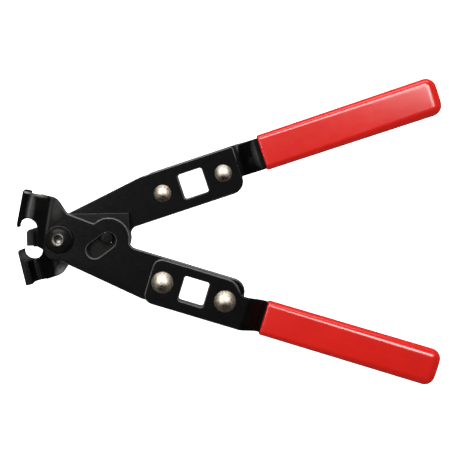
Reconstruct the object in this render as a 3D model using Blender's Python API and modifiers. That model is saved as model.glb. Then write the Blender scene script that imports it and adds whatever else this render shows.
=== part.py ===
"""Ear clamp pliers with two square drive holes, built as separate solids in metres.

X runs along the tool from the jaws to the handles, Y across it and Z up through the
stack of plates.  The back arm is the front one turned over about the X axis, with a
slightly narrower jaw.  Each arm is drawn with its handle along X and then swung out by
OPEN_ANGLE about the pivot.
"""
import math

import bmesh
import bpy
from mathutils import Matrix, Vector

# The stack of plates, measured from the middle plane of the tool
SEAT_GAP = 0.0003
SLIDER_THICKNESS = 0.0037
SLIDER_HALF = SLIDER_THICKNESS / 2
ARM_THICKNESS = 0.004
ARM_INNER = SLIDER_HALF + SEAT_GAP
ARM_OUTER = ARM_INNER + ARM_THICKNESS
HANDLE_THICKNESS = 0.004
HANDLE_INNER = ARM_OUTER + SEAT_GAP
HANDLE_OUTER = HANDLE_INNER + HANDLE_THICKNESS
OPEN_ANGLE = math.radians(17.6)
EDGE_ROUND = 0.0006
SLIDER_EDGE_ROUND = 0.0004
CUT_REACH = 0.02
WELD_DISTANCE = 0.000001
MARKER_SIZE = 0.01

# Jaw section, seen along the bend lines: a joggle outward, a round bend and a leg that
# reaches a little past the middle plane, so the two tips face each other
JAW_LEAN = math.radians(5.4)
JAW_BACK = 0.0236
LEG_REACH = 0.0022
JOGGLE_START = 0.0072
JOGGLE_ANGLE = math.radians(20)
JOGGLE_RADIUS = 0.0070
BEND_OUTER = 0.007
BEND_INNER = BEND_OUTER - ARM_THICKNESS
SECTION_LENGTH = 0.115
SECTION_HALF_SPAN = 0.045
JAW_EDGE_X = 0.0218
JAW_EDGE_Y = 0.0195
JAW_TOP_X = 0.0123
JAW_TOP_Y = 0.0197
BACK_JAW_EDGE_Y = 0.0180
BACK_JAW_TOP_Y = 0.0181
NOTCH_RADIUS = 0.0048
NOTCH_X = 0.0169
NOTCH_Y = 0.0012
NOTCH_FLARE_START = 0.0044
NOTCH_FLARE_RADIUS = 0.0058
MOUTH_LEFT_X = 0.0190
MOUTH_RIGHT_X = 0.0125
TIP_X = 0.0229
TIP_Y = -0.0003
BACK_TIP_Y = -0.0011
TIP_CUT_ANGLE = math.radians(50)
JAW_SLOPE_WIDTH = 0.0012
JAW_SLOPE_END = 0.0140
JAW_SLOPE_RUN_OUT = math.radians(24)

# Arm outline behind the jaw, arm drawn along X
SHOULDER_X = 0.0075
SHOULDER_Y = 0.0199
SHOULDER_RADIUS = 0.0065
WAIST_X = 0.0002
WAIST_Y = 0.0138
WAIST_RADIUS = 0.0045
BACK_SHOULDER_X = 0.0066
BACK_SHOULDER_Y = 0.0180
BACK_WAIST_X = -0.0004
BACK_WAIST_Y = 0.0126
LOBE_X = 0.0241
LOBE_Y = 0.00775
LOBE_RADIUS = 0.0107
LOBE_START_X = 0.0141
LOBE_START_Y = 0.0130
LOBE_LAST_ANGLE = math.radians(5)
CROTCH_X = 0.0362
CROTCH_RADIUS = 0.0042
ARM_INNER_EDGE = 0.0065
ARM_END = 0.0994
ARM_END_LARGE_RADIUS = 0.0068
ARM_END_SMALL_RADIUS = 0.0015
ARM_OUTER_EDGE = 0.0174
ARM_BELLY_X = 0.0490
ARM_BELLY_RADIUS = 0.014
HEEL_X = 0.0046
HEEL_Y = 0.0109
HEEL_RADIUS = 0.0040
NECK_LOWER_X = 0.0098
NECK_LOWER_Y = 0.0068
NECK_RADIUS = 0.0012
NECK_FOOT_X = 0.0069
NECK_FOOT_Y = 0.0076
NECK_FOOT_RADIUS = 0.0015
LOWER_LOBE_X = 0.0034
LOWER_LOBE_Y = 0.0120
LOWER_LOBE_RADIUS = 0.0050

# Cam slot in each arm, its two end centres in the arm drawn along X
SLOT_INNER_X = 0.0188
SLOT_INNER_Y = -0.0003
SLOT_OUTER_X = 0.0239
SLOT_OUTER_Y = 0.0065
SLOT_RADIUS = 0.00425

# Handle plate with the square drive hole and two rivets
FIXING_LINE_Y = -0.0055
RIVET_NEAR_X = 0.0572
RIVET_FAR_X = 0.0905
DRIVE_X = 0.07385
DRIVE_SQUARE = 0.0132
DRIVE_CORNER = 0.0012
HANDLE_START = 0.0500
HANDLE_TOP = 0.0059
HANDLE_BOTTOM = -0.0179
HANDLE_CORNER = 0.0048
NECK_IN_X = 0.0925
NECK_IN_RADIUS = 0.0080
NECK_OUT_X = 0.0985
NECK_OUT_RADIUS = 0.0040
STRAP_TOP = -0.0007
STRAP_BOTTOM = -0.0173
STEP_PAST_ARM = 0.0018
STEP_LENGTH = 0.0083
STRAP_STEP_START = ARM_END + STEP_PAST_ARM
STRAP_STEP_END = STRAP_STEP_START + STEP_LENGTH
STRAP_BEND_RADIUS = 0.0035
STRAP_END = 0.2030
STRAP_END_RADIUS = 0.0050
STRAP_HALF = HANDLE_THICKNESS / 2

# Grip sleeve
GRIP_START = 0.1126
GRIP_END = 0.2083
GRIP_CENTRE_Y = -0.0092
GRIP_START_WIDTH = 0.0188
GRIP_END_WIDTH = 0.0198
GRIP_THICKNESS = 0.0086
GRIP_EDGE_RADIUS = 0.0034
GRIP_END_RADIUS = 0.0058
GRIP_CLEARANCE = 0.0003
GRIP_RUN_IN = 0.006
GRIP_RIM_RADIUS = 0.0006

# Rivets, with the large head outside and the small one inside
RIVET_SHANK_RADIUS = 0.0030
RIVET_HOLE_CLEARANCE = 0.0001
RIVET_LARGE_RADIUS = 0.0056
RIVET_LARGE_HEIGHT = 0.0032
RIVET_SMALL_RADIUS = 0.0045
RIVET_SMALL_HEIGHT = 0.0024
RIVET_RIM = 0.0003

# Slider with the push head, and its cam pin
SLIDER_END = 0.0354
SLIDER_HALF_WIDTH = 0.0128
SLIDER_SHOULDER_X = 0.0035
SLIDER_SHOULDER_RADIUS = 0.0015
STEM_HALF_WIDTH = 0.0041
STEM_FLARE_X = -0.0070
STEM_FLARE_OUT_X = -0.0040
STEM_FLARE_OUT_Y = 0.0076
HEAD_FRONT = -0.0164
HEAD_BACK = -0.0131
HEAD_TOP = 0.0054
HEAD_BOTTOM = -0.0031
HEAD_HALF_HEIGHT = 0.0080
HEAD_CORNER = 0.0020
STEM_START = -0.0145
BOLT_SLOT_START = -0.0002
BOLT_SLOT_END = 0.0048
BOLT_SLOT_RADIUS = 0.0042
PIN_X = 0.02425
PIN_RADIUS = 0.0030
PIN_RECESS = 0.0006
PIN_CHAMFER = 0.0003
PIN_CENTRE_RADIUS = 0.0005
PIN_CENTRE_DEPTH = 0.0005

# Pivot bolt, washers and nut
BOLT_RADIUS = 0.0040
PIVOT_CLEARANCE = 0.0001
WASHER_RADIUS = 0.0073
WASHER_THICKNESS = 0.0012
WASHER_BORE = BOLT_RADIUS + PIVOT_CLEARANCE
WASHER_CHAMFER = 0.0004
BOLT_HEAD_RADIUS = 0.0067
BOLT_HEAD_HEIGHT = 0.0042
BOLT_HEAD_TOP_RADIUS = 0.0036
BOLT_HEAD_RIM = 0.0005
SOCKET_FLATS = 0.005
SOCKET_DEPTH = 0.0026
SOCKET_MOUTH_RADIUS = 0.0031
SOCKET_MOUTH_DEPTH = 0.0004
NUT_FLATS = 0.013
NUT_HEIGHT = 0.0060
NUT_CHAMFER_SHARE = 0.12
BOLT_END_PROUD = 0.0008
BOLT_END_CHAMFER = 0.0006

FRONT_WASHER_BASE = ARM_OUTER + SEAT_GAP
BOLT_SEAT = FRONT_WASHER_BASE + WASHER_THICKNESS + SEAT_GAP
NUT_SEAT = BOLT_SEAT
NUT_FACE = NUT_SEAT + NUT_HEIGHT
BOLT_REACH = NUT_FACE + BOLT_END_PROUD
# The end of the bolt is the lowest face, so the origin lies on it
MIDDLE_Z = BOLT_REACH

ARC_STEPS = 5
BEND_STEPS = 8
LARGE_ARC_STEPS = 10
ROUND_STEPS = 26
RIVET_STEPS = 18
HOLE_STEPS = 16
FULL_TURN = 2 * math.pi


def clear_scene():
    for obj in list(bpy.data.objects):
        bpy.data.objects.remove(obj, do_unlink=True)
    for group in list(bpy.data.collections):
        bpy.data.collections.remove(group)


def make_collection(name):
    group = bpy.data.collections.new(name)
    bpy.context.scene.collection.children.link(group)
    return group


def make_material(name, colour, metallic, roughness):
    material = bpy.data.materials.new(name)
    material.use_nodes = True
    shader = material.node_tree.nodes["Principled BSDF"]
    shader.inputs["Base Color"].default_value = (*colour, 1)
    shader.inputs["Metallic"].default_value = metallic
    shader.inputs["Roughness"].default_value = roughness
    return material


def rounded(corners):
    """Turns (x, y, radius) corners into a closed outline with an arc at each corner."""
    points = []
    count = len(corners)
    for index, (x, y, radius) in enumerate(corners):
        here = Vector((x, y))
        if radius <= 0:
            points.append(here)
            continue
        before = (Vector(corners[index - 1][:2]) - here).normalized()
        after = (Vector(corners[(index + 1) % count][:2]) - here).normalized()
        half = before.angle(after) / 2
        reach = radius / math.tan(half)
        start = here + before * reach
        end = here + after * reach
        centre = here + (before + after).normalized() * (radius / math.sin(half))
        first = math.atan2(start.y - centre.y, start.x - centre.x)
        last = math.atan2(end.y - centre.y, end.x - centre.x)
        sweep = (last - first + math.pi) % FULL_TURN - math.pi
        for step in range(ARC_STEPS + 1):
            angle = first + sweep * step / ARC_STEPS
            points.append(centre + radius * Vector((math.cos(angle), math.sin(angle))))
    return points


def arc(centre_x, centre_y, radius, first, last, steps):
    """Points on an arc from the first to the last angle."""
    points = []
    for step in range(steps + 1):
        angle = first + (last - first) * step / steps
        points.append(Vector((centre_x + radius * math.cos(angle), centre_y + radius * math.sin(angle))))
    return points


def mesh_object(name, mesh, group):
    obj = bpy.data.objects.new(name, mesh)
    group.objects.link(obj)
    return obj


def plate(name, outline, low, high, group, edge=0.0):
    """A flat plate from a closed outline, made as a filled 2D curve."""
    curve = bpy.data.curves.new(name + "_outline", "CURVE")
    curve.dimensions = "2D"
    curve.fill_mode = "BOTH"
    curve.extrude = (high - low) / 2 - edge
    curve.bevel_depth = edge
    curve.bevel_resolution = 3
    curve.offset = -edge
    spline = curve.splines.new("POLY")
    spline.points.add(len(outline) - 1)
    for point, place in zip(spline.points, outline):
        point.co = (place[0], place[1], 0, 1)
    spline.use_cyclic_u = True
    holder = bpy.data.objects.new(name + "_curve", curve)
    group.objects.link(holder)
    bpy.context.view_layer.update()
    mesh = bpy.data.meshes.new_from_object(holder)
    mesh.name = name
    bpy.data.objects.remove(holder, do_unlink=True)
    bpy.data.curves.remove(curve)
    weld(mesh)
    mesh.transform(Matrix.Translation((0, 0, (low + high) / 2)))
    return mesh_object(name, mesh, group)


def weld(mesh):
    work = bmesh.new()
    work.from_mesh(mesh)
    bmesh.ops.remove_doubles(work, verts=work.verts, dist=WELD_DISTANCE)
    bmesh.ops.recalc_face_normals(work, faces=work.faces)
    work.to_mesh(mesh)
    work.free()


def apply_modifiers(obj):
    bpy.context.view_layer.update()
    graph = bpy.context.evaluated_depsgraph_get()
    mesh = bpy.data.meshes.new_from_object(obj.evaluated_get(graph))
    mesh.name = obj.name
    old = obj.data
    obj.modifiers.clear()
    obj.data = mesh
    bpy.data.meshes.remove(old)


def boolean(obj, cutter, operation="DIFFERENCE"):
    modifier = obj.modifiers.new("cut", "BOOLEAN")
    modifier.operation = operation
    modifier.solver = "EXACT"
    modifier.object = cutter
    apply_modifiers(obj)
    cutter.hide_render = True
    cutter.display_type = "WIRE"


def soften(obj, width=EDGE_ROUND, segments=2, angle=math.radians(40), clamped=False):
    modifier = obj.modifiers.new("edge round", "BEVEL")
    modifier.width = width
    modifier.segments = segments
    modifier.limit_method = "ANGLE"
    modifier.angle_limit = angle
    modifier.use_clamp_overlap = clamped
    apply_modifiers(obj)
    weld(obj.data)


def smooth(obj, angle=math.radians(35)):
    mesh = obj.data
    mesh.shade_smooth()
    mesh.set_sharp_from_angle(angle=angle)


def turned(name, profile, group, steps=ROUND_STEPS):
    """A solid of revolution about Z from (radius, height) points run down its outer side."""
    mesh = bpy.data.meshes.new(name)
    verts = [(radius, 0, height) for radius, height in profile]
    edges = [(index, index + 1) for index in range(len(profile) - 1)]
    mesh.from_pydata(verts, edges, [])
    obj = mesh_object(name, mesh, group)
    screw = obj.modifiers.new("turn", "SCREW")
    screw.axis = "Z"
    screw.angle = FULL_TURN
    screw.steps = steps
    screw.render_steps = steps
    screw.use_merge_vertices = True
    screw.merge_threshold = WELD_DISTANCE
    screw.use_normal_calculate = True
    apply_modifiers(obj)
    weld(obj.data)
    return obj


def rod(name, radius, low, high, group, steps=ROUND_STEPS):
    return turned(name, [(0, high), (radius, high), (radius, low), (0, low)], group, steps)


def stadium(x0, y0, x1, y1, radius):
    """Outline of a slot between two end centres."""
    heading = math.atan2(y1 - y0, x1 - x0)
    quarter = math.pi / 2
    far = arc(x1, y1, radius, heading - quarter, heading + quarter, 2 * ARC_STEPS)
    near = arc(x0, y0, radius, heading + quarter, heading + 3 * quarter, 2 * ARC_STEPS)
    return far + near


def paint(obj, material):
    obj.data.materials.clear()
    obj.data.materials.append(material)


def jaw_section():
    """Arm section across the bend lines: (distance along the arm, height) points."""
    rise = math.sin(JOGGLE_ANGLE)
    level = math.cos(JOGGLE_ANGLE)
    centre_s = -JAW_BACK + BEND_OUTER
    touch_s = centre_s + BEND_OUTER * rise
    touch_z = ARM_OUTER + (-JOGGLE_START - touch_s) * math.tan(JOGGLE_ANGLE)
    centre_z = touch_z - BEND_OUTER * level
    quarter = math.pi / 2
    outer = arc(centre_s, centre_z, BEND_OUTER, quarter - JOGGLE_ANGLE, math.pi, BEND_STEPS)
    inner = arc(centre_s, centre_z, BEND_INNER, math.pi, quarter - JOGGLE_ANGLE, ARC_STEPS)
    # The joggle is bent about one centre, above the outer face
    joggle_s = -JOGGLE_START + JOGGLE_RADIUS * math.tan(JOGGLE_ANGLE / 2)
    joggle_z = ARM_OUTER + JOGGLE_RADIUS
    below = JOGGLE_RADIUS + ARM_THICKNESS
    first = -quarter - JOGGLE_ANGLE
    outer_joggle = arc(joggle_s, joggle_z, JOGGLE_RADIUS, -quarter, first, ARC_STEPS)
    inner_joggle = arc(joggle_s, joggle_z, below, first, -quarter, ARC_STEPS)
    section = [Vector((SECTION_LENGTH, ARM_OUTER))]
    section += outer_joggle
    section += outer
    section += [Vector((-JAW_BACK, -LEG_REACH)), Vector((-JAW_BACK + ARM_THICKNESS, -LEG_REACH))]
    section += inner
    section += inner_joggle
    section.append(Vector((SECTION_LENGTH, ARM_INNER)))
    return section


def arm_outline(jaw_top, tip_y, shoulder, waist):
    """Plan of an arm drawn along X, jaw to the left; the leg sets its left side."""
    left = -JAW_BACK - 2 * ARM_THICKNESS
    lobe_first = math.atan2(LOBE_START_Y - LOBE_Y, LOBE_START_X - LOBE_X)
    lobe = arc(LOBE_X, LOBE_Y, LOBE_RADIUS, lobe_first, LOBE_LAST_ANGLE, LARGE_ARC_STEPS)
    corners = [
        (left, tip_y - (TIP_X + left) * math.tan(TIP_CUT_ANGLE), 0),
        (left, jaw_top, 0),
        (-JAW_TOP_X, jaw_top, 0),
        (*shoulder, SHOULDER_RADIUS),
        (*waist, WAIST_RADIUS),
    ]
    corners += [(point.x, point.y, 0) for point in lobe]
    corners += [
        (CROTCH_X, ARM_INNER_EDGE, CROTCH_RADIUS),
        (ARM_END, ARM_INNER_EDGE, ARM_END_LARGE_RADIUS),
        (ARM_END, -ARM_OUTER_EDGE, ARM_END_SMALL_RADIUS),
        (ARM_BELLY_X, -ARM_OUTER_EDGE, ARM_BELLY_RADIUS),
        (HEEL_X, -HEEL_Y, HEEL_RADIUS),
        (-LOWER_LOBE_X, -LOWER_LOBE_Y, LOWER_LOBE_RADIUS),
        (-NECK_FOOT_X, -NECK_FOOT_Y, NECK_FOOT_RADIUS),
        (-NECK_LOWER_X, -NECK_LOWER_Y, NECK_RADIUS),
        (-MOUTH_RIGHT_X, NOTCH_Y, 0),
        (-MOUTH_LEFT_X, tip_y, 0),
        (-TIP_X, tip_y, 0),
    ]
    return rounded(corners)


def build_arm(name, group, cutters, jaw_top, jaw_edge, tip_y, shoulder, waist):
    """One arm: the bent section cut to the arm's plan, with its holes."""
    arm = plate(name, jaw_section(), -SECTION_HALF_SPAN, SECTION_HALF_SPAN, group)
    # The section was drawn flat in X and Y, so it is stood up and leant to the bend lines
    arm.data.transform(Matrix.Rotation(JAW_LEAN, 4, "Z") @ Matrix.Rotation(math.pi / 2, 4, "X"))
    outline = arm_outline(jaw_top, tip_y, shoulder, waist)
    boolean(arm, plate("arm_plan_cutter", outline, -CUT_REACH, CUT_REACH, cutters), "INTERSECT")
    slot = stadium(SLOT_INNER_X, SLOT_INNER_Y, SLOT_OUTER_X, SLOT_OUTER_Y, SLOT_RADIUS)
    boolean(arm, plate("cam_slot_cutter", slot, -CUT_REACH, CUT_REACH, cutters))
    boolean(arm, rod("pivot_hole_cutter", WASHER_BORE, -CUT_REACH, CUT_REACH, cutters))
    cut_fixings(arm, cutters)
    slope_jaw_top(arm, cutters, jaw_edge)
    cut_notch(arm, cutters)
    soften(arm)
    smooth(arm)
    return arm


def cut_fixings(obj, cutters):
    """The rivet holes and the square drive hole, shared by arm and handle plate."""
    for x in (RIVET_NEAR_X, RIVET_FAR_X):
        hole = rod("rivet_hole_cutter", RIVET_SHANK_RADIUS + RIVET_HOLE_CLEARANCE,
                   -CUT_REACH, CUT_REACH, cutters, HOLE_STEPS)
        hole.data.transform(Matrix.Translation((x, FIXING_LINE_Y, 0)))
        boolean(obj, hole)
    half = DRIVE_SQUARE / 2
    square = rounded([
        (DRIVE_X - half, FIXING_LINE_Y - half, DRIVE_CORNER),
        (DRIVE_X + half, FIXING_LINE_Y - half, DRIVE_CORNER),
        (DRIVE_X + half, FIXING_LINE_Y + half, DRIVE_CORNER),
        (DRIVE_X - half, FIXING_LINE_Y + half, DRIVE_CORNER),
    ])
    boolean(obj, plate("drive_hole_cutter", square, -CUT_REACH, CUT_REACH, cutters))


def slope_jaw_top(arm, cutters, jaw_edge):
    """Slopes the jaw's top edge from the leg's end up to the outer face."""
    top_z = jaw_height()
    slope = JAW_SLOPE_WIDTH / (top_z + LEG_REACH)
    wedge = [
        Vector((slope * (CUT_REACH - LEG_REACH), -CUT_REACH)),
        Vector((CUT_REACH, -CUT_REACH)),
        Vector((CUT_REACH, CUT_REACH)),
        Vector((-slope * (CUT_REACH + LEG_REACH), CUT_REACH)),
    ]
    cutter = plate("jaw_slope_cutter", wedge, -2 * CUT_REACH, JAW_EDGE_X - JAW_SLOPE_END, cutters)
    # Drawn in the Y Z plane, run along X to a slanted end and leant like the bend lines
    slant = 1 / math.tan(JAW_SLOPE_RUN_OUT)
    run = Matrix(((slant, 0, 1, 0), (1, 0, 0, 0), (0, 1, 0, 0), (0, 0, 0, 1)))
    place = Matrix.Translation((-JAW_EDGE_X, jaw_edge, 0)) @ Matrix.Rotation(JAW_LEAN, 4, "Z")
    cutter.data.transform(place @ run)
    boolean(arm, cutter)


def cut_notch(arm, cutters):
    """The round notch, which widens down the leg so that the hook ends in a thin tip."""
    growth = (NOTCH_FLARE_RADIUS - NOTCH_RADIUS) / (NOTCH_FLARE_START + LEG_REACH)
    low_radius = NOTCH_RADIUS + growth * (NOTCH_FLARE_START + CUT_REACH)
    profile = [(0, CUT_REACH), (NOTCH_RADIUS, CUT_REACH), (NOTCH_RADIUS, NOTCH_FLARE_START),
               (low_radius, -CUT_REACH), (0, -CUT_REACH)]
    cutter = turned("notch_cutter", profile, cutters)
    cutter.data.transform(Matrix.Translation((-NOTCH_X, NOTCH_Y, 0)))
    boolean(arm, cutter)


def jaw_height():
    """Highest point of the jaw's outer bend above the middle plane."""
    centre_s = -JAW_BACK + BEND_OUTER
    touch_s = centre_s + BEND_OUTER * math.sin(JOGGLE_ANGLE)
    touch_z = ARM_OUTER + (-JOGGLE_START - touch_s) * math.tan(JOGGLE_ANGLE)
    return touch_z + BEND_OUTER * (1 - math.cos(JOGGLE_ANGLE))


def build_handle(name, group, cutters):
    """Handle plate: flat on the arm, then stepped back to the middle plane for the grip."""
    middle = (HANDLE_INNER + HANDLE_OUTER) / 2
    lower = [(STRAP_END, -STRAP_HALF, 0), (STRAP_STEP_END, -STRAP_HALF, STRAP_BEND_RADIUS),
             (STRAP_STEP_START, HANDLE_INNER, STRAP_BEND_RADIUS), (0, HANDLE_INNER, 0)]
    upper = [(0, HANDLE_OUTER, 0), (STRAP_STEP_START + step_shift(middle), HANDLE_OUTER, STRAP_BEND_RADIUS),
             (STRAP_STEP_END + step_shift(middle), STRAP_HALF, STRAP_BEND_RADIUS), (STRAP_END, STRAP_HALF, 0)]
    handle = plate(name, rounded(lower + upper), -SECTION_HALF_SPAN, SECTION_HALF_SPAN, group)
    handle.data.transform(Matrix.Rotation(math.pi / 2, 4, "X"))
    outline = rounded([
        (HANDLE_START, HANDLE_TOP, HANDLE_CORNER),
        (HANDLE_START, HANDLE_BOTTOM, HANDLE_CORNER),
        (STRAP_STEP_START, HANDLE_BOTTOM, HANDLE_CORNER),
        (STRAP_STEP_END, STRAP_BOTTOM, HANDLE_CORNER),
        (STRAP_END, STRAP_BOTTOM, STRAP_END_RADIUS),
        (STRAP_END, STRAP_TOP, STRAP_END_RADIUS),
        (NECK_OUT_X, STRAP_TOP, NECK_OUT_RADIUS),
        (NECK_IN_X, HANDLE_TOP, NECK_IN_RADIUS),
    ])
    boolean(handle, plate("handle_plan_cutter", outline, -CUT_REACH, CUT_REACH, cutters), "INTERSECT")
    cut_fixings(handle, cutters)
    soften(handle)
    smooth(handle)
    return handle


def step_shift(rise):
    """How far the outer bend of the step lies past the inner one for an even thickness."""
    slope = math.atan2(rise, STRAP_STEP_END - STRAP_STEP_START)
    return HANDLE_THICKNESS * math.tan(slope / 2)


def build_grip(name, group, cutters):
    """Sleeve with rounded edges, cut square at its open end and hollow for the strap."""
    half_start = GRIP_START_WIDTH / 2
    half_end = GRIP_END_WIDTH / 2
    start = GRIP_START - GRIP_RUN_IN
    outline = rounded([
        (start, GRIP_CENTRE_Y - half_start, 0),
        (GRIP_END, GRIP_CENTRE_Y - half_end, GRIP_END_RADIUS),
        (GRIP_END, GRIP_CENTRE_Y + half_end, GRIP_END_RADIUS),
        (start, GRIP_CENTRE_Y + half_start, 0),
    ])
    half = GRIP_THICKNESS / 2
    grip = plate(name, outline, -half, half, group, GRIP_EDGE_RADIUS)
    block = rounded([
        (start - GRIP_RUN_IN, -CUT_REACH - GRIP_START_WIDTH, 0),
        (GRIP_START, -CUT_REACH - GRIP_START_WIDTH, 0),
        (GRIP_START, CUT_REACH, 0), (start - GRIP_RUN_IN, CUT_REACH, 0),
    ])
    boolean(grip, plate("grip_end_cutter", block, -CUT_REACH, CUT_REACH, cutters))
    soften(grip, GRIP_RIM_RADIUS, 2, math.radians(50), True)
    cavity = rounded([
        (start, STRAP_BOTTOM - GRIP_CLEARANCE, 0),
        (STRAP_END + GRIP_CLEARANCE, STRAP_BOTTOM - GRIP_CLEARANCE, STRAP_END_RADIUS),
        (STRAP_END + GRIP_CLEARANCE, STRAP_TOP + GRIP_CLEARANCE, STRAP_END_RADIUS),
        (start, STRAP_TOP + GRIP_CLEARANCE, 0),
    ])
    depth = STRAP_HALF + GRIP_CLEARANCE
    boolean(grip, plate("grip_cavity_cutter", cavity, -depth, depth, cutters))
    smooth(grip)
    return grip


def build_rivet(name, x, group):
    """Rivet through arm and handle plate, drawn standing on the arm."""
    top = HANDLE_OUTER + SEAT_GAP
    bottom = ARM_INNER - SEAT_GAP
    shank = RIVET_SHANK_RADIUS
    profile = dome(RIVET_LARGE_RADIUS, RIVET_LARGE_HEIGHT, top, 1)
    profile += [(shank, top), (shank, bottom)]
    profile += reversed(dome(RIVET_SMALL_RADIUS, RIVET_SMALL_HEIGHT, bottom, -1))
    rivet = turned(name, profile, group, RIVET_STEPS)
    rivet.data.transform(Matrix.Translation((x, FIXING_LINE_Y, 0)))
    smooth(rivet)
    return rivet


def dome(radius, height, seat, side):
    """Profile of a round head from its crown out to its seat; side is 1 up or -1 down."""
    curve = (radius * radius + (height - RIVET_RIM) ** 2) / (2 * (height - RIVET_RIM))
    points = []
    for step in range(ARC_STEPS + 1):
        across = radius * step / ARC_STEPS
        fall = curve - math.sqrt(curve * curve - across * across)
        points.append((across, seat + side * (height - fall)))
    points.append((radius, seat))
    return points


def build_slider(name, group, cutters):
    """Middle plate with the push head at its jaw end and a slot for the pivot bolt."""
    outline = rounded([
        (STEM_START, -STEM_HALF_WIDTH, 0),
        (STEM_FLARE_X, -STEM_HALF_WIDTH, SLIDER_SHOULDER_RADIUS),
        (STEM_FLARE_OUT_X, -STEM_FLARE_OUT_Y, SLIDER_SHOULDER_RADIUS),
        (SLIDER_SHOULDER_X, -SLIDER_HALF_WIDTH, SLIDER_SHOULDER_RADIUS),
        (SLIDER_END, -SLIDER_HALF_WIDTH, 0),
        (SLIDER_END, SLIDER_HALF_WIDTH, 0),
        (SLIDER_SHOULDER_X, SLIDER_HALF_WIDTH, SLIDER_SHOULDER_RADIUS),
        (STEM_FLARE_OUT_X, STEM_FLARE_OUT_Y, SLIDER_SHOULDER_RADIUS),
        (STEM_FLARE_X, STEM_HALF_WIDTH, SLIDER_SHOULDER_RADIUS),
        (STEM_START, STEM_HALF_WIDTH, 0),
    ])
    slider = plate(name, outline, -SLIDER_HALF, SLIDER_HALF, group)
    head = rounded([
        (HEAD_FRONT, HEAD_BOTTOM, 0),
        (HEAD_BACK, HEAD_BOTTOM, 0),
        (HEAD_BACK, HEAD_TOP, 0),
        (HEAD_FRONT, HEAD_TOP, HEAD_CORNER),
    ])
    boolean(slider, plate("push_head_block", head, -HEAD_HALF_HEIGHT, HEAD_HALF_HEIGHT, cutters), "UNION")
    slot = stadium(BOLT_SLOT_START, 0, BOLT_SLOT_END, 0, BOLT_SLOT_RADIUS)
    boolean(slider, plate("bolt_slot_cutter", slot, -CUT_REACH, CUT_REACH, cutters))
    hole = rod("pin_hole_cutter", PIN_RADIUS + RIVET_HOLE_CLEARANCE, -CUT_REACH, CUT_REACH, cutters)
    hole.data.transform(Matrix.Translation((PIN_X, 0, 0)))
    boolean(slider, hole)
    soften(slider, SLIDER_EDGE_ROUND)
    smooth(slider)
    return slider


def build_pin(name, group):
    """Cam pin, flush inside both arm plates, with a small centre mark in each end."""
    top = ARM_OUTER - PIN_RECESS
    edge = PIN_RADIUS - PIN_CHAMFER
    profile = [(0, top - PIN_CENTRE_DEPTH), (PIN_CENTRE_RADIUS, top), (edge, top),
               (PIN_RADIUS, top - PIN_CHAMFER), (PIN_RADIUS, PIN_CHAMFER - top),
               (edge, -top), (PIN_CENTRE_RADIUS, -top), (0, PIN_CENTRE_DEPTH - top)]
    pin = turned(name, profile, group)
    pin.data.transform(Matrix.Translation((PIN_X, 0, 0)))
    smooth(pin)
    return pin


def build_bolt(name, group, cutters):
    """Button head bolt with a hexagon socket."""
    top = BOLT_SEAT + BOLT_HEAD_HEIGHT
    crown = []
    for step in range(ARC_STEPS + 1):
        angle = math.pi / 2 * (1 - step / ARC_STEPS)
        across = BOLT_HEAD_TOP_RADIUS + (BOLT_HEAD_RADIUS - BOLT_HEAD_TOP_RADIUS) * math.cos(angle)
        height = BOLT_SEAT + BOLT_HEAD_RIM + (BOLT_HEAD_HEIGHT - BOLT_HEAD_RIM) * math.sin(angle)
        crown.append((across, height))
    profile = [(0, top)] + crown + [(BOLT_HEAD_RADIUS, BOLT_SEAT), (BOLT_RADIUS, BOLT_SEAT),
               (BOLT_RADIUS, BOLT_END_CHAMFER - BOLT_REACH),
               (BOLT_RADIUS - BOLT_END_CHAMFER, -BOLT_REACH), (0, -BOLT_REACH)]
    bolt = turned(name, profile, group)
    socket = turned("socket_cutter", hexagon_profile(top - SOCKET_DEPTH, top + SOCKET_DEPTH, SOCKET_FLATS),
                    cutters, 6)
    boolean(bolt, socket)
    mouth = turned("socket_mouth_cutter",
                   [(0, top + SOCKET_MOUTH_DEPTH),
                    (SOCKET_MOUTH_RADIUS + SOCKET_MOUTH_DEPTH, top + SOCKET_MOUTH_DEPTH),
                    (SOCKET_MOUTH_RADIUS - SOCKET_MOUTH_DEPTH, top - SOCKET_MOUTH_DEPTH),
                    (0, top - SOCKET_MOUTH_DEPTH)], cutters, ROUND_STEPS // 2)
    boolean(bolt, mouth)
    smooth(bolt)
    return bolt


def hexagon_profile(low, high, flats):
    """Profile that becomes a hexagonal prism when it is turned in six steps."""
    corner = flats / 2 / math.cos(math.pi / 6)
    return [(0, high), (corner, high), (corner, low), (0, low)]


def build_washer(name, side, group):
    """Chamfered washer under the head (side 1) or under the nut (side -1)."""
    low = FRONT_WASHER_BASE
    high = low + WASHER_THICKNESS
    rim = WASHER_RADIUS - WASHER_CHAMFER
    profile = [(WASHER_BORE, side * high), (rim, side * high),
               (WASHER_RADIUS, side * (high - WASHER_CHAMFER)), (WASHER_RADIUS, side * low),
               (WASHER_BORE, side * low), (WASHER_BORE, side * high)]
    washer = turned(name, profile, group)
    smooth(washer)
    return washer


def build_nut(name, group, cutters):
    """Hexagon nut under the back arm, its corners taken off at both faces."""
    nut = turned(name, hexagon_profile(-NUT_FACE, -NUT_SEAT, NUT_FLATS), group, 6)
    corner = NUT_FLATS / 2 / math.cos(math.pi / 6)
    flat = NUT_FLATS / 2
    drop = corner * NUT_CHAMFER_SHARE
    middle = -(NUT_SEAT + NUT_FACE) / 2
    cone = turned("nut_chamfer_cutter",
                  [(0, -NUT_SEAT), (flat - drop / 2, -NUT_SEAT), (corner, -NUT_SEAT - drop), (corner, middle),
                   (corner, drop - NUT_FACE), (flat - drop / 2, -NUT_FACE), (0, -NUT_FACE)], cutters)
    boolean(nut, cone, "INTERSECT")
    boolean(nut, rod("nut_bore_cutter", WASHER_BORE, -CUT_REACH, CUT_REACH, cutters))
    smooth(nut)
    return nut


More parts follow.
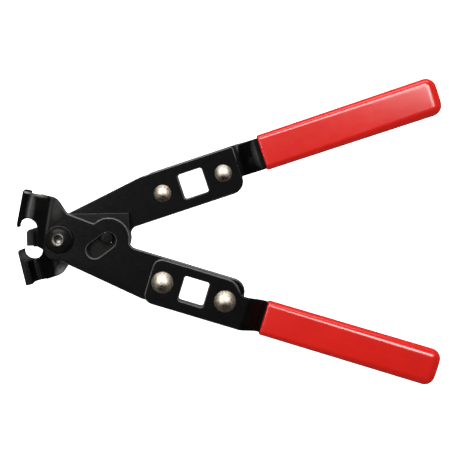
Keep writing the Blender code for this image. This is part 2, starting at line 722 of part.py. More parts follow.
def empty(name, place, group, parent=None):
    marker = bpy.data.objects.new(name, None)
    marker.empty_display_size = MARKER_SIZE
    group.objects.link(marker)
    marker.parent = parent
    marker.location = place
    return marker


def turned_over(source, name, group):
    """The same piece for the other arm, turned over about the X axis."""
    mesh = source.data.copy()
    mesh.name = name
    mesh.transform(Matrix.Rotation(math.pi, 4, "X"))
    return mesh_object(name, mesh, group)


def build():
    clear_scene()
    parts = make_collection("ear_clamp_pliers")
    cutters = make_collection("cutters")

    pivot = empty("pliers_pivot", (0, 0, MIDDLE_Z), parts)
    front = empty("front_arm_joint", (0, 0, 0), parts, pivot)
    back = empty("back_arm_joint", (0, 0, 0), parts, pivot)
    rail = empty("slider_joint", (0, 0, 0), parts, pivot)
    front.rotation_euler.z = -OPEN_ANGLE
    back.rotation_euler.z = OPEN_ANGLE

    arm = build_arm("front_arm_plate", parts, cutters, JAW_TOP_Y, JAW_EDGE_Y, TIP_Y,
                    (-SHOULDER_X, SHOULDER_Y), (-WAIST_X, WAIST_Y))
    back_arm = build_arm("back_arm_blank", parts, cutters, BACK_JAW_TOP_Y, BACK_JAW_EDGE_Y, BACK_TIP_Y,
                         (-BACK_SHOULDER_X, BACK_SHOULDER_Y), (-BACK_WAIST_X, BACK_WAIST_Y))
    handle = build_handle("front_handle_plate", parts, cutters)
    grip = build_grip("front_grip", parts, cutters)
    near_rivet = build_rivet("front_rivet_near", RIVET_NEAR_X, parts)
    far_rivet = build_rivet("front_rivet_far", RIVET_FAR_X, parts)
    on_front = [arm, handle, grip, near_rivet, far_rivet]
    on_back = [turned_over(back_arm, "back_arm_plate", parts)]
    on_back += [turned_over(piece, piece.name.replace("front", "back"), parts) for piece in on_front[1:]]
    bpy.data.objects.remove(back_arm, do_unlink=True)

    slider = build_slider("slider_plate", parts, cutters)
    pin = build_pin("slider_pin", parts)
    bolt = build_bolt("pivot_bolt", parts, cutters)
    front_washer = build_washer("front_pivot_washer", 1, parts)
    back_washer = build_washer("back_pivot_washer", -1, parts)
    nut = build_nut("pivot_nut", parts, cutters)

    for pieces, joint in ((on_front, front), (on_back, back), ((slider, pin), rail),
                          ((bolt, front_washer, back_washer, nut), pivot)):
        for piece in pieces:
            piece.parent = joint

    black = (0.012, 0.012, 0.013)
    looks = {
        "arm_plate": (black, 0.6, 0.42),
        "handle_plate": (black, 0.6, 0.36),
        "grip": ((0.62, 0.012, 0.010), 0.0, 0.35),
        "rivet": ((0.72, 0.68, 0.62), 1.0, 0.22),
        "slider_plate": ((0.030, 0.030, 0.031), 0.6, 0.45),
        "slider_pin": ((0.032, 0.032, 0.033), 0.6, 0.45),
        "pivot_bolt": ((0.020, 0.020, 0.020), 0.8, 0.25),
        "washer": (black, 0.7, 0.35),
        "pivot_nut": ((0.020, 0.020, 0.020), 0.8, 0.30),
    }
    for piece in on_front + on_back + [slider, pin, bolt, front_washer, back_washer, nut]:
        for key, (colour, metallic, roughness) in looks.items():
            if key in piece.name:
                paint(piece, make_material(piece.name + "_finish", colour, metallic, roughness))

    for cutter in cutters.objects:
        cutter.hide_render = True
        cutter.display_type = "WIRE"
    bpy.context.view_layer.update()


build()
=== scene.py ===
"""Looks of the ear clamp pliers: fine pieces, surface finishes, floor, light and camera.

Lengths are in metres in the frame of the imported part: X from the jaws to the handles,
Y across the tool and Z up through the stack of plates.
"""
import math

import bmesh
import bpy
from mathutils import Matrix, Vector


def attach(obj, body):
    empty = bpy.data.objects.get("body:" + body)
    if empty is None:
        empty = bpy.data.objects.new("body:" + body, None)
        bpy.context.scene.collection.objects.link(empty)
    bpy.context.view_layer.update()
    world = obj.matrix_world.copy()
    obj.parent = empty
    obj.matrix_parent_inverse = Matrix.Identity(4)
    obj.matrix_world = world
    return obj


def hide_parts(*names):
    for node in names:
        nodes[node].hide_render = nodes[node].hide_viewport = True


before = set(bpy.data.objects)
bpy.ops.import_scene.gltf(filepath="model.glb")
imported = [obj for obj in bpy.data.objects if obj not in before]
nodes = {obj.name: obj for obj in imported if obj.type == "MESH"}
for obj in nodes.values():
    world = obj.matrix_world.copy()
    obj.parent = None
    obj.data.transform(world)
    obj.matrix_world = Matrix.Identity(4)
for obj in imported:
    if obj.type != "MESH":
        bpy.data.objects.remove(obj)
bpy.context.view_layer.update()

# The tool as packed
MIDDLE_Z = 0.01475
OPEN_ANGLE = math.radians(17.6)
SEAT_GAP = 0.0003
ARM_INNER = 0.00215
ARM_OUTER = 0.00615
HANDLE_OUTER = 0.01045
FIXING_LINE_Y = -0.0055
RIVET_NEAR_X = 0.0572
RIVET_FAR_X = 0.0905
WASHER_THICKNESS = 0.0012

# Rivets: a head outside and a smaller one inside
RIVET_HEAD_RADIUS = 0.0056
RIVET_HEAD_HEIGHT = 0.0032
RIVET_TAIL_RADIUS = 0.0045
RIVET_TAIL_HEIGHT = 0.0024
RIVET_RIM = 0.0003
RIVET_SHANK_RADIUS = 0.0030

# Grips, along the arm and across it
GRIP_START = 0.1126
GRIP_END = 0.2083
GRIP_CENTRE_Y = -0.0092
GRIP_HALF_WIDTH = 0.0094
GRIP_HALF_WIDENING = 0.0005
GRIP_HALF_THICKNESS = 0.0043
GRIP_SIDE_DEPTH = 0.0030
GRIP_SIDE_DEEPENING = 0.0020
GRIP_SIDE_POWER = 2.2
GRIP_END_ROUND = 0.0058
GRIP_LIP_ROUND = 0.0009
GRIP_LEAST_HALF_WIDTH = 0.0008
GRIP_LEAST_HALF_THICKNESS = 0.0004
# Rings inside the open end: distance in, half width, half thickness
GRIP_MOUTH_RINGS = ((0.0120, 0.0086, 0.0023), (0.0011, 0.0086, 0.0023), (0.0002, 0.0087, 0.0024))
GRIP_MOUTH_SIDE = 0.0012
GRIP_LIP_STEPS = 8
GRIP_LENGTH_STEPS = 60
GRIP_END_STEPS = 24

# Bolt: button head with a hexagon socket
BOLT_HEAD_HEIGHT = 0.0042
BOLT_HEAD_RADIUS = 0.0067
BOLT_DOME_RADIUS = 0.0073
BOLT_SHANK_RADIUS = 0.0040
BOLT_END_RADIUS = 0.0034
BOLT_END_CHAMFER = 0.0006
SOCKET_ACROSS_FLATS = 0.0049
SOCKET_MOUTH = 0.0030
SOCKET_LIP = 0.00015
SOCKET_EDGE_DROP = 0.0001
SOCKET_CHAMFER_SLOPE = 0.8
SOCKET_WALL_DEPTH = 0.0023
SOCKET_FOOT_DEPTH = 0.0026
SOCKET_FOOT_SHARE = 0.97
SOCKET_DEPTH = 0.0030

ROUND_STEPS = 96
DOME_STEPS = 24

# Facets of a carried-over node are welded within this distance and stay sharp past this bend
WELD_DISTANCE = 0.000002
SHARP_BEND = math.radians(50)

# Which way each arm is swung and turned: front as drawn, back turned over about X
FRONT = Matrix.Translation((0, 0, MIDDLE_Z)) @ Matrix.Rotation(-OPEN_ANGLE, 4, "Z")
BACK = (Matrix.Translation((0, 0, MIDDLE_Z)) @ Matrix.Rotation(OPEN_ANGLE, 4, "Z")
        @ Matrix.Rotation(math.pi, 4, "X"))
MIDDLE = Matrix.Translation((0, 0, MIDDLE_Z))

pieces = bpy.data.collections.new("visual_pieces")
bpy.context.scene.collection.children.link(pieces)


# Material helpers

def new_material(name):
    material = bpy.data.materials.new(name)
    material.use_nodes = True
    return material, material.node_tree, material.node_tree.nodes["Principled BSDF"]


def node(tree, kind, **values):
    made = tree.nodes.new(kind)
    for key, value in values.items():
        if hasattr(made, key):
            setattr(made, key, value)
        else:
            made.inputs[key.replace("_", " ").title()].default_value = value
    return made


def object_space(tree, stretch=(1, 1, 1), turn=0.0):
    """Object coordinates, turned about Z and stretched, so a grain can follow an arm."""
    place = node(tree, "ShaderNodeTexCoord")
    mapping = node(tree, "ShaderNodeMapping")
    mapping.inputs["Rotation"].default_value = (0, 0, turn)
    mapping.inputs["Scale"].default_value = stretch
    tree.links.new(place.outputs["Object"], mapping.inputs["Vector"])
    return mapping.outputs["Vector"]


def noise(tree, vector, scale, detail=4.0, roughness=0.55):
    made = node(tree, "ShaderNodeTexNoise", scale=scale, detail=detail, roughness=roughness)
    tree.links.new(vector, made.inputs["Vector"])
    return made.outputs["Fac"]


def ramp(tree, value, low, high, first, last):
    """Maps a grey value between low and high onto the colours or greys first to last."""
    made = node(tree, "ShaderNodeValToRGB")
    steps = made.color_ramp.elements
    steps[0].position, steps[1].position = low, high
    as_colour = [(end, end, end, 1) if isinstance(end, (int, float)) else (*end, 1) for end in (first, last)]
    steps[0].color, steps[1].color = as_colour
    tree.links.new(value, made.inputs["Fac"])
    return made.outputs["Color"]


def mix(tree, blend, factor, first, second):
    made = node(tree, "ShaderNodeMix", data_type="RGBA", blend_type=blend)
    for socket, value in ((made.inputs[0], factor), (made.inputs[6], first), (made.inputs[7], second)):
        if hasattr(value, "is_output"):
            tree.links.new(value, socket)
        else:
            socket.default_value = value if isinstance(value, float) else (*value, 1)
    return made.outputs[2]


def bump(tree, height, distance, strength=1.0, below=None):
    made = node(tree, "ShaderNodeBump", strength=strength, distance=distance)
    tree.links.new(height, made.inputs["Height"])
    if below is not None:
        tree.links.new(below, made.inputs["Normal"])
    return made.outputs["Normal"]


def soft_patch(tree, place, radii, turn=0.0, inner=0.35, hollow=0.0):
    """One at a point in object space, falling softly to zero at the given radii; hollow makes it a ring."""
    where = node(tree, "ShaderNodeTexCoord")
    mapping = node(tree, "ShaderNodeMapping", vector_type="TEXTURE")
    mapping.inputs["Location"].default_value = place
    mapping.inputs["Rotation"].default_value = (0, 0, turn)
    mapping.inputs["Scale"].default_value = radii
    tree.links.new(where.outputs["Object"], mapping.inputs["Vector"])
    length = node(tree, "ShaderNodeVectorMath", operation="LENGTH")
    tree.links.new(mapping.outputs["Vector"], length.inputs[0])
    patch = ramp(tree, length.outputs["Value"], inner, 1.0, 1.0, 0.0)
    if hollow:
        inside = ramp(tree, length.outputs["Value"], hollow, inner, 0.0, 1.0)
        patch = mix(tree, "MULTIPLY", 1.0, patch, inside)
    return patch


def broken(tree, mask, amount, speckle, low, high, least):
    """Breaks up a mask by the given amount, where the speckle is low."""
    return mix(tree, "MULTIPLY", amount, mask, ramp(tree, speckle, low, high, least, 1.0))


def edge_mask(tree, plain, from_x, to_x):
    """One on a plate's rounded and sheared edges, told by their slope, between from_x and to_x."""
    where = node(tree, "ShaderNodeTexCoord")
    slope = node(tree, "ShaderNodeSeparateXYZ")
    tree.links.new(where.outputs["Normal"], slope.inputs["Vector"])
    upright = node(tree, "ShaderNodeMath", operation="ABSOLUTE")
    tree.links.new(slope.outputs["Z"], upright.inputs[0])
    mask = ramp(tree, upright.outputs["Value"], 0.82, 0.97, 1.0, 0.0)
    place = node(tree, "ShaderNodeSeparateXYZ")
    tree.links.new(plain, place.inputs["Vector"])
    for first, last in ((from_x, from_x + 0.003), (to_x, to_x - 0.002)):
        within = node(tree, "ShaderNodeMapRange", interpolation_type="SMOOTHSTEP")
        within.inputs["From Min"].default_value = first
        within.inputs["From Max"].default_value = last
        tree.links.new(place.outputs["X"], within.inputs["Value"])
        mask = mix(tree, "MULTIPLY", 1.0, mask, within.outputs["Result"])
    return broken(tree, mask, 0.5, noise(tree, plain, 700, 4), 0.30, 0.60, 0.35)


def black_steel(name, dark, light, rough_low, rough_high, turn=0.0, specular=0.10, painted_highlights=(), edge=0.12,
                from_x=-1.0, to_x=1.0):
    """Blackened plate: cloudy tone, fine rolled grain along the arm, lighter worn edges and painted
    highlights at given places.
    """
    material, tree, shader = new_material(name)
    plain = object_space(tree)
    grain = object_space(tree, (60, 900, 900), turn)
    tone = ramp(tree, noise(tree, plain, 160, 5), 0.35, 0.70, dark, light)
    streaks = noise(tree, grain, 1.0, 3)
    tone = mix(tree, "MULTIPLY", 0.35, tone, ramp(tree, streaks, 0.30, 0.75, 0.72, 1.0))
    scuffs = noise(tree, object_space(tree, (30, 260, 260), turn + 0.5), 1.0, 6)
    scuffs = ramp(tree, scuffs, 0.64, 0.80, 0.0, 0.35)
    tone = mix(tree, "MIX", scuffs, tone, tuple(3 * value for value in light))
    edges = edge_mask(tree, plain, from_x, to_x)
    tone = mix(tree, "MIX", edges, tone, (edge, edge, 0.96 * edge))
    # Painted highlights and painted reflections: lighter greys mixed into the tone at the given places
    for place, radii, patch_turn, grey in painted_highlights:
        patch = broken(tree, soft_patch(tree, place, radii, patch_turn), 0.5, noise(tree, plain, 900, 4),
                       0.30, 0.60, 0.4)
        tone = mix(tree, "MIX", patch, tone, (grey, grey, grey * 0.97))
    tree.links.new(tone, shader.inputs["Base Color"])
    tree.links.new(ramp(tree, noise(tree, plain, 420, 4), 0.30, 0.72, rough_low, rough_high),
                   shader.inputs["Roughness"])
    pits = bump(tree, noise(tree, plain, 2600, 3), 0.00003, 0.30)
    tree.links.new(bump(tree, streaks, 0.00002, 0.20, pits), shader.inputs["Normal"])
    tree.links.new(mix(tree, "MULTIPLY", 1.0, edges, (0.60, 0.60, 0.60)), shader.inputs["Metallic"])
    shader.inputs["Specular IOR Level"].default_value = specular
    return material


def red_vinyl(name):
    """Dipped vinyl: deep red with slow drift in tone, a soft orange-peel skin and duller patches."""
    material, tree, shader = new_material(name)
    plain = object_space(tree)
    drift = noise(tree, plain, 45, 3)
    tone = ramp(tree, drift, 0.30, 0.72, (0.350, 0.0058, 0.0036), (0.385, 0.0074, 0.0046))
    tree.links.new(tone, shader.inputs["Base Color"])
    tree.links.new(ramp(tree, noise(tree, plain, 260, 4), 0.30, 0.75, 0.205, 0.255),
                   shader.inputs["Roughness"])
    skin = bump(tree, noise(tree, plain, 700, 2), 0.00004, 0.08)
    tree.links.new(bump(tree, noise(tree, plain, 60, 2), 0.0003, 0.08, skin), shader.inputs["Normal"])
    shader.inputs["Coat Weight"].default_value = 0.16
    shader.inputs["Coat Roughness"].default_value = 0.15
    return material


def bright_steel(name, dark, light, rough_low, rough_high, dark_reflection_place):
    """Plated rivet steel: warm silver, small dents, dark pits and a painted dark reflection at a place on
    the head.
    """
    material, tree, shader = new_material(name)
    plain = object_space(tree)
    tone = ramp(tree, noise(tree, plain, 300, 4), 0.30, 0.72, dark, light)
    pits = ramp(tree, noise(tree, plain, 1100, 5), 0.36, 0.50, 0.30, 1.0)
    tone = mix(tree, "MULTIPLY", 0.8, tone, pits)
    # Painted dark reflection: a dark patch at the given place on the head
    patch = broken(tree, soft_patch(tree, dark_reflection_place, (0.0032, 0.0026, 1.0), inner=0.40), 0.6,
                   noise(tree, plain, 700, 4), 0.38, 0.60, 0.25)
    tone = mix(tree, "MIX", patch, tone, (0.050, 0.040, 0.028))
    tree.links.new(tone, shader.inputs["Base Color"])
    tree.links.new(ramp(tree, noise(tree, plain, 900, 4), 0.30, 0.75, rough_low, rough_high),
                   shader.inputs["Roughness"])
    tree.links.new(bump(tree, noise(tree, plain, 420, 3), 0.00020, 0.25), shader.inputs["Normal"])
    shader.inputs["Metallic"].default_value = 1.0
    return material


def oxide_gloss(name, dark, light, rough_low, rough_high, socket=0.0):
    """Oiled black oxide on a turned fastener; given a socket radius, it paints a highlight ring at the
    socket's mouth and light on the socket's lower part.
    """
    material, tree, shader = new_material(name)
    plain = object_space(tree)
    tone = ramp(tree, noise(tree, plain, 500, 4), 0.30, 0.72, dark, light)
    if socket:
        # Painted highlight ring at the socket's mouth
        ring = soft_patch(tree, (0.0002, 0.0002, 0), (socket, socket, 1.0), inner=0.84, hollow=0.72)
        tone = mix(tree, "MIX", ring, tone, (0.32, 0.30, 0.26))
        # Painted light on the lower part of the socket, where the key lamp reaches
        painted_socket_light = soft_patch(tree, (0.0001, -0.0010, 0), (0.0013, 0.0010, 1.0), inner=0.30)
        painted_socket_light = broken(tree, painted_socket_light, 0.6, noise(tree, plain, 1300, 4), 0.35, 0.60, 0.4)
        tone = mix(tree, "MIX", painted_socket_light, tone, (0.32, 0.31, 0.29))
    tree.links.new(tone, shader.inputs["Base Color"])
    tree.links.new(ramp(tree, noise(tree, plain, 1100, 4), 0.30, 0.75, rough_low, rough_high),
                   shader.inputs["Roughness"])
    tree.links.new(bump(tree, noise(tree, plain, 1500, 3), 0.00004, 0.4), shader.inputs["Normal"])
    shader.inputs["Metallic"].default_value = 0.7
    return material


# Mesh helpers

def add_piece(name, mesh, material, body, *replaced):
    piece = bpy.data.objects.new(name, mesh)
    pieces.objects.link(piece)
    mesh.materials.append(material)
    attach(piece, body)
    if replaced:
        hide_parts(*replaced)


def shade(mesh, angle=35):
    mesh.shade_smooth()
    mesh.set_sharp_from_angle(angle=math.radians(angle))


def closed_mesh(name, work):
    """Turns the faces of a closed surface outward and makes it a mesh."""
    bmesh.ops.recalc_face_normals(work, faces=work.faces)
    mesh = bpy.data.meshes.new(name)
    work.to_mesh(mesh)
    work.free()
    return mesh


def bridge(work, rings):
    """Joins each ring of ROUND_STEPS points to the next one with faces."""
    for first, second in zip(rings, rings[1:]):
        for step in range(ROUND_STEPS):
            after = (step + 1) % ROUND_STEPS
            work.faces.new((first[step], first[after], second[after], second[step]))


def revolve(name, profile):
    """Closed surface about Z through (radius, height) points; a zero radius closes an end."""
    work = bmesh.new()
    rings = []
    for radius, height in profile:
        if radius <= 0:
            rings.append([work.verts.new((0, 0, height))])
            continue
        ring = []
        for step in range(ROUND_STEPS):
            angle = 2 * math.pi * step / ROUND_STEPS
            ring.append(work.verts.new((radius * math.cos(angle), radius * math.sin(angle), height)))
        rings.append(ring)
    for above, below in zip(rings, rings[1:]):
        for step in range(ROUND_STEPS):
            after = (step + 1) % ROUND_STEPS
            face = [above[step % len(above)], below[step % len(below)],
                    below[after % len(below)], above[after % len(above)]]
            corners = [point for index, point in enumerate(face) if point not in face[:index]]
            if len(corners) > 2:
                work.faces.new(corners)
    return closed_mesh(name, work)


def refine(obj):
    """Welds a CAD node's facets and shades them smooth between real edges, by modifiers only."""
    modifier = obj.modifiers.new("smooth facets", "NODES")
    modifier.node_group = smooth_group
    weighted = obj.modifiers.new("flat faces stay flat", "WEIGHTED_NORMAL")
    weighted.mode = "FACE_AREA"
    weighted.weight = 80
    weighted.keep_sharp = True


def make_smooth_group():
    group = bpy.data.node_groups.new("smooth_facets", "GeometryNodeTree")
    group.interface.new_socket("Geometry", in_out="INPUT", socket_type="NodeSocketGeometry")
    group.interface.new_socket("Geometry", in_out="OUTPUT", socket_type="NodeSocketGeometry")
    start = group.nodes.new("NodeGroupInput")
    end = group.nodes.new("NodeGroupOutput")
    merge = group.nodes.new("GeometryNodeMergeByDistance")
    merge.inputs["Distance"].default_value = WELD_DISTANCE
    drop = group.nodes.new("GeometryNodeRemoveAttribute")
    drop.inputs["Name"].default_value = "custom_normal"
    faces = group.nodes.new("GeometryNodeSetShadeSmooth")
    edges = group.nodes.new("GeometryNodeSetShadeSmooth")
    edges.domain = "EDGE"
    edges.inputs["Shade Smooth"].default_value = False
    bend = group.nodes.new("GeometryNodeInputMeshEdgeAngle")
    sharp = group.nodes.new("FunctionNodeCompare")
    sharp.operation = "GREATER_THAN"
    sharp.inputs["B"].default_value = SHARP_BEND
    links = group.links
    links.new(start.outputs[0], drop.inputs["Geometry"])
    links.new(drop.outputs["Geometry"], merge.inputs["Geometry"])
    links.new(merge.outputs["Geometry"], faces.inputs["Geometry"])
    links.new(faces.outputs["Geometry"], edges.inputs["Geometry"])
    links.new(bend.outputs["Unsigned Angle"], sharp.inputs["A"])
    links.new(sharp.outputs["Result"], edges.inputs["Selection"])
    links.new(edges.outputs["Geometry"], end.inputs[0])
    return group


smooth_group = make_smooth_group()


# Pieces

def dome_profile(radius, height, seat, side):
    """Crown to seat of a rivet's round head: side is 1 for upward, -1 for downward."""
    rise = height - RIVET_RIM
    curve = (radius * radius + rise * rise) / (2 * rise)
    points = []
    for step in range(DOME_STEPS + 1):
        across = radius * step / DOME_STEPS
        points.append((across, seat + side * (height - curve + math.sqrt(curve * curve - across * across))))
    points.append((radius, seat))
    return points


def build_rivet(name, x, place, body, replaced, material):
    """Rivet with a large outer dome and a small inner one."""
    outer, inner = HANDLE_OUTER + SEAT_GAP, ARM_INNER - SEAT_GAP
    profile = dome_profile(RIVET_HEAD_RADIUS, RIVET_HEAD_HEIGHT, outer, 1)
    profile += [(RIVET_SHANK_RADIUS, outer), (RIVET_SHANK_RADIUS, inner)]
    profile += reversed(dome_profile(RIVET_TAIL_RADIUS, RIVET_TAIL_HEIGHT, inner, -1))
    mesh = revolve(name, profile)
    mesh.transform(place @ Matrix.Translation((x, FIXING_LINE_Y, 0)))
    shade(mesh)
    add_piece(name, mesh, material, body, replaced)


def build_grip(name, place, body, replaced, material):
    """Dipped sleeve lofted along the strap, with a rolled open end and a rounded closed one."""
    after_lip = GRIP_START + GRIP_LIP_ROUND
    before_end = GRIP_END - GRIP_END_ROUND
    # Stations along the grip: place, and how far the section is drawn in there
    stations = []
    for step in range(GRIP_LIP_STEPS + 1):
        angle = math.pi / 2 * step / GRIP_LIP_STEPS
        stations.append((GRIP_START + GRIP_LIP_ROUND * (1 - math.sin(angle)),
                         -GRIP_LIP_ROUND * (1 - math.cos(angle))))
    for step in range(1, GRIP_LENGTH_STEPS):
        stations.append((after_lip + (before_end - after_lip) * step / GRIP_LENGTH_STEPS, 0.0))
    for step in range(GRIP_END_STEPS + 1):
        angle = math.pi / 2 * step / GRIP_END_STEPS
        stations.append((before_end + GRIP_END_ROUND * math.sin(angle),
                         -GRIP_END_ROUND * (1 - math.cos(angle))))
    work = bmesh.new()

    def ring(x, half_width, half_high, side, power=2.0):
        """Flat above and below, with half ellipses of the given depth for its sides."""
        made = []
        side = min(side, half_width)
        for step in range(ROUND_STEPS):
            angle = 2 * math.pi * (step + 0.5) / ROUND_STEPS
            across, up = math.cos(angle), math.sin(angle)
            y = math.copysign(half_width - side + side * abs(across) ** (2 / power), across)
            z = math.copysign(abs(up) ** (2 / power), up) * half_high
            made.append(work.verts.new((x, GRIP_CENTRE_Y + y, z)))
        return made

    rings = [ring(GRIP_START + depth, half_width, half_high, GRIP_MOUTH_SIDE)
             for depth, half_width, half_high in GRIP_MOUTH_RINGS]
    for x, inset in sorted(stations):
        share = (x - GRIP_START) / (GRIP_END - GRIP_START)
        half_width = GRIP_HALF_WIDTH + GRIP_HALF_WIDENING * share + inset
        thinning = GRIP_HALF_THICKNESS / GRIP_END_ROUND if x > before_end else 1.0
        rings.append(ring(x, max(half_width, GRIP_LEAST_HALF_WIDTH),
                          max(GRIP_HALF_THICKNESS + inset * thinning, GRIP_LEAST_HALF_THICKNESS),
                          GRIP_SIDE_DEPTH + GRIP_SIDE_DEEPENING * share, GRIP_SIDE_POWER))
    bridge(work, rings)
    work.faces.new(rings[0])
    work.faces.new(list(reversed(rings[-1])))
    mesh = closed_mesh(name, work)
    mesh.transform(place)
    shade(mesh, 40)
    add_piece(name, mesh, material, body, replaced)


def build_bolt(material):
    """Button head with a chamfered hexagon socket, on its plain shank."""
    seat = ARM_OUTER + SEAT_GAP + WASHER_THICKNESS + SEAT_GAP
    top = seat + BOLT_HEAD_HEIGHT
    lip = SOCKET_MOUTH + SOCKET_LIP
    work = bmesh.new()

    def ring(radius_at, height_at):
        made = []
        for step in range(ROUND_STEPS):
            angle = 2 * math.pi * step / ROUND_STEPS
            radius = radius_at(angle)
            made.append(work.verts.new((radius * math.cos(angle), radius * math.sin(angle),
                                        height_at(radius))))
        return made

    def hexagon(angle):
        return SOCKET_ACROSS_FLATS / 2 / math.cos((angle % (math.pi / 3)) - math.pi / 6)

    def chamfer(radius):
        return SOCKET_EDGE_DROP + (SOCKET_MOUTH - radius) * SOCKET_CHAMFER_SLOPE

    # From the socket's floor up its wall and chamfer, over the dome and down the shank
    rings = [ring(lambda a: hexagon(a) * SOCKET_FOOT_SHARE, lambda r: top - SOCKET_FOOT_DEPTH)]
    rings.append(ring(hexagon, lambda r: top - SOCKET_WALL_DEPTH))
    for share in (0.5, 1.0):
        rings.append(ring(hexagon, lambda r: top - SOCKET_WALL_DEPTH * (1 - share) - share * chamfer(r)))
    rings.append(ring(lambda a: SOCKET_MOUTH, lambda r: top - SOCKET_EDGE_DROP))
    rings.append(ring(lambda a: lip, lambda r: top))
    first_turn = math.asin(lip / BOLT_DOME_RADIUS)
    last_turn = math.asin(BOLT_HEAD_RADIUS / BOLT_DOME_RADIUS)
    for step in range(1, DOME_STEPS + 1):
        turned = first_turn + (last_turn - first_turn) * step / DOME_STEPS
        rings.append(ring(lambda a: BOLT_DOME_RADIUS * math.sin(turned),
                          lambda r: top + BOLT_DOME_RADIUS * (math.cos(turned) - math.cos(first_turn))))
    for radius, height in ((BOLT_HEAD_RADIUS, seat), (BOLT_SHANK_RADIUS, seat),
                           (BOLT_SHANK_RADIUS, BOLT_END_CHAMFER - MIDDLE_Z), (BOLT_END_RADIUS, -MIDDLE_Z)):
        rings.append(ring(lambda a: radius, lambda r: height))
    bridge(work, rings)
    for last, height in ((rings[0], top - SOCKET_DEPTH), (rings[-1], -MIDDLE_Z)):
        middle = work.verts.new((0, 0, height))
        for step in range(ROUND_STEPS):
            work.faces.new((last[step], last[(step + 1) % ROUND_STEPS], middle))
    mesh = closed_mesh("button_head_bolt", work)
    mesh.transform(MIDDLE)
    shade(mesh, 24)
    add_piece("button_head_bolt", mesh, material, "pivot", "pivot_bolt")


# Finishes

# Painted highlights and painted reflections on the black plates: centre, radii, turn about Z and grey.
# Each is a lighter grey put where a lamp's light falls or is mirrored, on bends, edges and flats.
# Painted highlight along the crease of the upper jaw's bend
CREASE_HIGHLIGHT = ((-0.0048, 0.0125, MIDDLE_Z + 0.0066), (0.0009, 0.0170, 0.0030), math.radians(-11), 0.022)
# Painted highlight on the jaw's shoulder edge
JAW_SHOULDER_HIGHLIGHT = ((0.0022, 0.0172, MIDDLE_Z + 0.0060), (0.0022, 0.0050, 0.0030), math.radians(38), 0.030)
# Painted light on the upward-facing end face of the jaw's leg
JAW_END_LIGHT = ((-0.0158, 0.0262, MIDDLE_Z + 0.0088), (0.0070, 0.0027, 0.0060), math.radians(-5), 0.330)
# Painted highlight band on the upper jaw's rounded bend
JAW_BAND_HIGHLIGHT = ((-0.0136, 0.0160, MIDDLE_Z + 0.0090), (0.0024, 0.0110, 0.0050), math.radians(-11), 0.030)
# Painted reflection lightening the flat beside the upper jaw
JAW_FLAT_REFLECTION = ((-0.0008, 0.0165, MIDDLE_Z + 0.0060), (0.0042, 0.0080, 0.0040), math.radians(-11), 0.014)
# Painted highlight along the upper jaw's top edge
JAW_TOP_EDGE_HIGHLIGHT = ((-0.0092, 0.0228, MIDDLE_Z + 0.0070), (0.0046, 0.0013, 0.0050), math.radians(-14), 0.080)
# Painted highlight on the lower jaw's notch wall
NOTCH_WALL_HIGHLIGHT = ((-0.0190, -0.0085, MIDDLE_Z - 0.0010), (0.0050, 0.0030, 0.0080), math.radians(-35), 0.050)
# Painted reflection on the lower jaw's flat
LOWER_JAW_REFLECTION = ((0.0012, -0.0185, MIDDLE_Z - 0.0022), (0.0060, 0.0075, 0.0030), math.radians(-20), 0.110)
# Painted highlight across the upper strap's bend
UPPER_STRAP_BEND_HIGHLIGHT = ((0.1012, 0.0420, MIDDLE_Z), (0.0017, 0.0078, 0.0200), OPEN_ANGLE, 0.019)
# Painted highlight along the upper strap's top edge
UPPER_STRAP_TOP_HIGHLIGHT = ((0.0994, 0.0504, MIDDLE_Z), (0.0110, 0.0009, 0.0200), math.radians(20), 0.250)
# Painted highlight along the lower strap's top edge
LOWER_STRAP_TOP_HIGHLIGHT = ((0.1010, -0.0312, MIDDLE_Z), (0.0100, 0.0009, 0.0200), math.radians(-11), 0.250)

# Edges are lighter only between these places, so bends in the jaws and straps stay dark
FRONT_JAW_END_X = -0.001
BACK_JAW_END_X = 0.002
BACK_ARM_EDGE_END_X = 0.092
STRAP_START_X = 0.093

# Place of the painted dark reflection on each rivet head, from the head's centre
RIVET_DARK_REFLECTION_PLACE = Vector((0.0002, -0.0024, 0))
# Radius of the painted highlight ring at the bolt's socket
SOCKET_HIGHLIGHT_RADIUS = 0.0031

arm_front = black_steel("front_arm_black", (0.0010, 0.0010, 0.0010), (0.0018, 0.0018, 0.0017), 0.22, 0.28,
                        OPEN_ANGLE, from_x=FRONT_JAW_END_X,
                        painted_highlights=(CREASE_HIGHLIGHT, JAW_SHOULDER_HIGHLIGHT, JAW_FLAT_REFLECTION, JAW_BAND_HIGHLIGHT, JAW_END_LIGHT, JAW_TOP_EDGE_HIGHLIGHT))
arm_back = black_steel("back_arm_black", (0.0009, 0.0009, 0.0009), (0.0016, 0.0016, 0.0015), 0.22, 0.28,
                       -OPEN_ANGLE, painted_highlights=(LOWER_JAW_REFLECTION, NOTCH_WALL_HIGHLIGHT),
                       from_x=BACK_JAW_END_X, to_x=BACK_ARM_EDGE_END_X)
handle_front = black_steel("front_handle_black", (0.0009, 0.0009, 0.0009), (0.0016, 0.0016, 0.0016),
                           0.24, 0.32, OPEN_ANGLE, painted_highlights=(LOWER_STRAP_TOP_HIGHLIGHT,), to_x=STRAP_START_X)
handle_back = black_steel("back_handle_black", (0.0008, 0.0008, 0.0008), (0.0015, 0.0015, 0.0015),
                          0.24, 0.32, -OPEN_ANGLE, painted_highlights=(UPPER_STRAP_BEND_HIGHLIGHT, UPPER_STRAP_TOP_HIGHLIGHT),
                          to_x=STRAP_START_X)
slider_grey = black_steel("slider_grey", (0.0038, 0.0038, 0.0036), (0.0064, 0.0063, 0.0060), 0.26, 0.34,
                          edge=0.03)
pin_grey = black_steel("pin_grey", (0.0022, 0.0022, 0.0021), (0.0036, 0.0036, 0.0035), 0.30, 0.38,
                       specular=0.06, edge=0.010)
washer_black = oxide_gloss("washer_oxide", (0.003, 0.003, 0.003), (0.005, 0.005, 0.0048), 0.34, 0.44)
